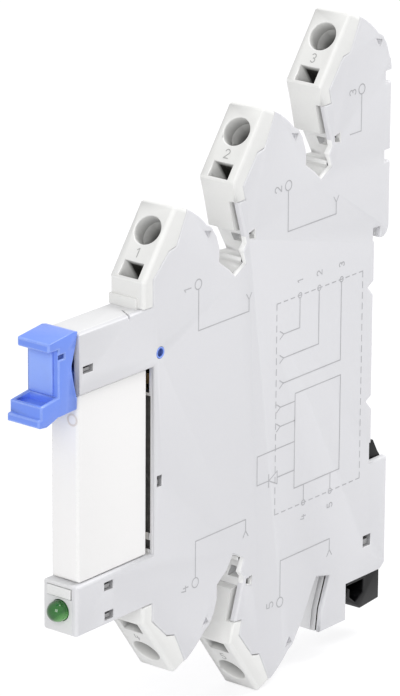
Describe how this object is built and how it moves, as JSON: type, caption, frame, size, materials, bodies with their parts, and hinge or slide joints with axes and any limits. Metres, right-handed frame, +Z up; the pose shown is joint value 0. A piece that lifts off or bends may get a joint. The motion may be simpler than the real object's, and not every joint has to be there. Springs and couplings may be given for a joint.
{
  "type": "rail-mounted relay module",
  "caption": "Slim plug-in relay module for a 35 mm top-hat rail, with stepped spring-clamp terminals, an ejector lever, an indicator lamp and a sprung rail latch.",
  "frame": {"origin": "centre of the 35 mm rail's front face, on the seat plane, midway across the module", "axes": "+X along the rail, -Y away from the rail to the module's front, +Z up towards the switch terminals"},
  "size_m": [0.0062, 0.0807, 0.1005],
  "materials": {
    "tray_plastic": "fine matt",
    "cover_plastic": "fine matt",
    "head_plastic": "satin",
    "relay_plastic": "smooth",
    "ejector_plastic": "satin",
    "latch_plastic": "satin",
    "marker_plastic": "matt",
    "indicator_lens": "translucent, glossy",
    "spring_steel": "bright",
    "plated_copper": "tin plated",
    "contact_alloy": "bright",
    "magnet_iron": "nickel plated",
    "winding_wire": "enamelled",
    "coil_plastic": "matt",
    "board_laminate": "lacquered",
    "component_plastic": "matt",
    "varistor_epoxy": "dipped"
  },
  "bodies": {
    "module": {"housing_tray": "tray_plastic", "side_cover": "cover_plastic", "terminal_head_14": "head_plastic", "terminal_head_11": "head_plastic", "terminal_head_12": "head_plastic", "terminal_head_a1": "head_plastic", "terminal_head_a2": "head_plastic", "current_bar_14": "plated_copper", "current_bar_11": "plated_copper", "current_bar_12": "plated_copper", "current_bar_a1": "plated_copper", "current_bar_a2": "plated_copper", "socket_contact_14": "contact_alloy", "socket_contact_11": "contact_alloy", "socket_contact_12": "contact_alloy", "socket_contact_a1": "contact_alloy", "socket_contact_a2": "contact_alloy", "circuit_board": "board_laminate", "bridge_rectifier": "component_plastic", "surge_varistor": "varistor_epoxy", "chip_resistors": "component_plastic", "flyback_diode": "component_plastic", "indicator_led": "indicator_lens", "led_leads": "plated_copper", "marker_plate": "marker_plastic"},
    "ejector": {"ejector_lever": "ejector_plastic"},
    "latch": {"rail_latch": "latch_plastic", "latch_spring": "spring_steel"},
    "relay": {"relay_cover": "relay_plastic", "relay_base": "coil_plastic", "coil_pins": "contact_alloy", "coil_bobbin": "coil_plastic", "coil_winding": "winding_wire", "coil_core": "magnet_iron", "yoke": "magnet_iron", "return_spring": "spring_steel", "com_terminal": "contact_alloy", "no_terminal": "contact_alloy", "nc_terminal": "contact_alloy"},
    "armature": {"armature": "magnet_iron"},
    "card": {"pusher_card": "coil_plastic"},
    "blade": {"moving_blade": "contact_alloy"},
    "clamp_14": {"clamp_spring_14": "spring_steel"},
    "clamp_11": {"clamp_spring_11": "spring_steel"},
    "clamp_12": {"clamp_spring_12": "spring_steel"},
    "clamp_a1": {"clamp_spring_a1": "spring_steel"},
    "clamp_a2": {"clamp_spring_a2": "spring_steel"}
  },
  "joints": [
    {"name": "ejector_tilt", "type": "hinge", "parent": "module", "child": "ejector", "pos_m": [0, -0.0502, 0.0113], "axis": [-1, 0, 0], "range_deg": [0, 14]},
    {"name": "relay_slide", "type": "slide", "parent": "module", "child": "relay", "axis": [0, -1, 0], "range_m": [0, 0.00122]},
    {"name": "latch_slide", "type": "slide", "parent": "module", "child": "latch", "axis": [0, 0, -1], "range_m": [0, 0.0025], "stiffness_N_per_m": 800, "springref_m": -0.002, "deforming": ["latch_spring"]},
    {"name": "armature_tilt", "type": "hinge", "parent": "relay", "child": "armature", "pos_m": [0, -0.0557, -0.00115], "axis": [1, 0, 0], "range_deg": [0, 3.3], "stiffness_Nm_per_rad": 0.05, "springref_deg": -1.15},
    {"name": "card_slide", "type": "slide", "parent": "relay", "child": "card", "axis": [0, 0, -1], "range_m": [0, 0.00053]},
    {"name": "blade_bend", "type": "hinge", "parent": "relay", "child": "blade", "pos_m": [0, -0.0552, 0.0046], "axis": [1, 0, 0], "range_deg": [0, 3.1]},
    {"name": "clamp_release_14", "type": "hinge", "parent": "module", "child": "clamp_14", "pos_m": [0, -0.04418, 0.01833], "axis": [1, 0, 0], "range_deg": [0, 9], "stiffness_Nm_per_rad": 0.5, "springref_deg": -8.59},
    {"name": "clamp_release_11", "type": "hinge", "parent": "module", "child": "clamp_11", "pos_m": [0, -0.02418, 0.02833], "axis": [1, 0, 0], "range_deg": [0, 9], "stiffness_Nm_per_rad": 0.5, "springref_deg": -8.59},
    {"name": "clamp_release_12", "type": "hinge", "parent": "module", "child": "clamp_12", "pos_m": [0, -0.00418, 0.03833], "axis": [1, 0, 0], "range_deg": [0, 9], "stiffness_Nm_per_rad": 0.5, "springref_deg": -8.59},
    {"name": "clamp_release_a1", "type": "hinge", "parent": "module", "child": "clamp_a1", "pos_m": [0, -0.04418, -0.02493], "axis": [-1, 0, 0], "range_deg": [0, 9], "stiffness_Nm_per_rad": 0.5, "springref_deg": -8.59},
    {"name": "clamp_release_a2", "type": "hinge", "parent": "module", "child": "clamp_a2", "pos_m": [0, -0.02418, -0.03423], "axis": [-1, 0, 0], "range_deg": [0, 9], "stiffness_Nm_per_rad": 0.5, "springref_deg": -8.59}
  ],
  "couplings": [
    {"joint": "ejector_tilt", "follows": "relay_slide", "rad_per_m": 200},
    {"joint": "armature_tilt", "follows": "card_slide", "rad_per_m": 107.5},
    {"joint": "blade_bend", "follows": "card_slide", "rad_per_m": 100}
  ]
}
